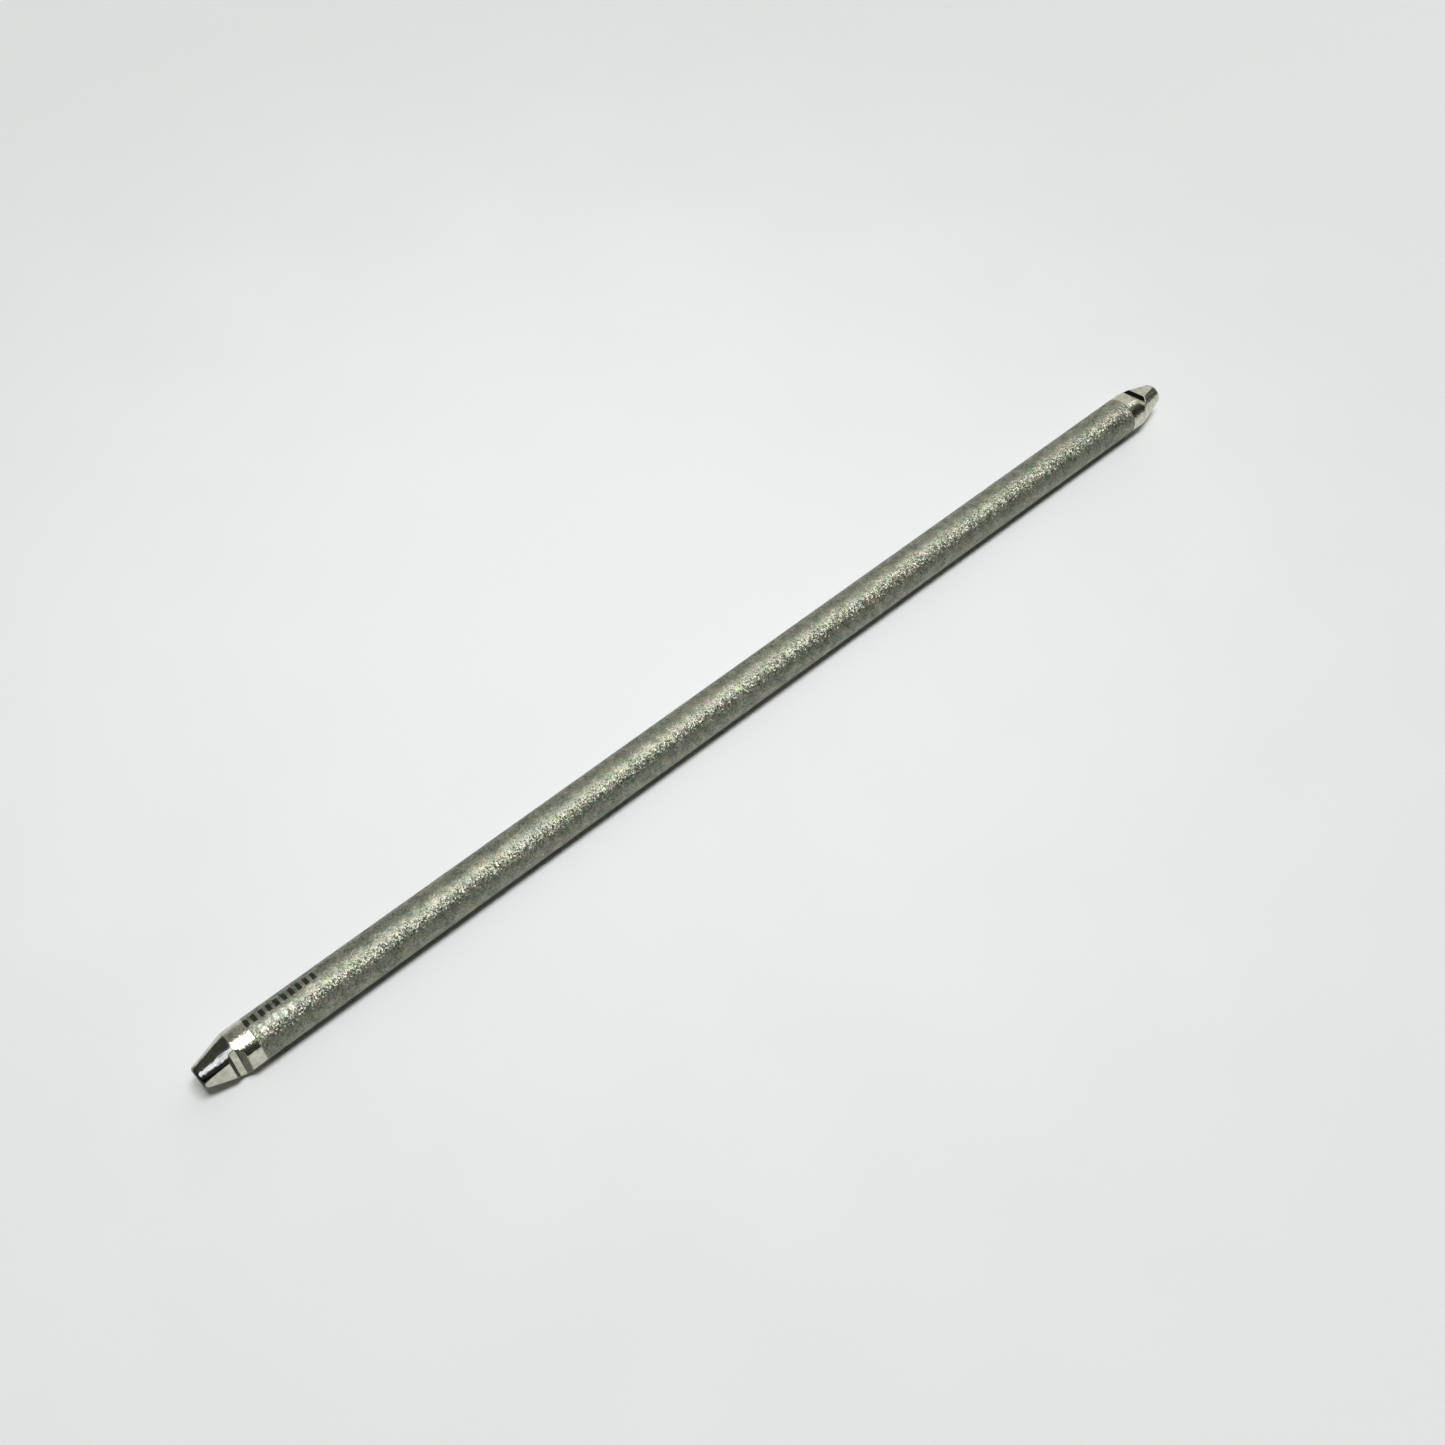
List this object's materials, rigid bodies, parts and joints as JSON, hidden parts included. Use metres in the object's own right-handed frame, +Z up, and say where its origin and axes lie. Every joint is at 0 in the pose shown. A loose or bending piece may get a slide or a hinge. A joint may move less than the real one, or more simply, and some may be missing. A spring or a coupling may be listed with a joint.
{
  "type": "surgical fixation rod",
  "caption": "Straight round metal rod with a grit blasted shank and bright conical tips, each with a cross notch and flats cut into one side for a holder to grip.",
  "frame": {"origin": "centre of the rod, on its axis", "axes": "+X along the rod's axis, from the tip beside the etched marks to the plain tip; +Z up as the rod lies; the marked tip's notch faces mostly -Y and the plain tip's mostly +Z"},
  "size_m": [0.16, 0.0054, 0.0054],
  "materials": {
    "blasted_metal": "grit blasted, matte with fine sparkle",
    "bright_metal": "turned and milled, bright"
  },
  "bodies": {
    "root": {"rod_body": "blasted_metal", "marked_end_tip": "bright_metal", "plain_end_tip": "bright_metal"}
  },
  "joints": []
}
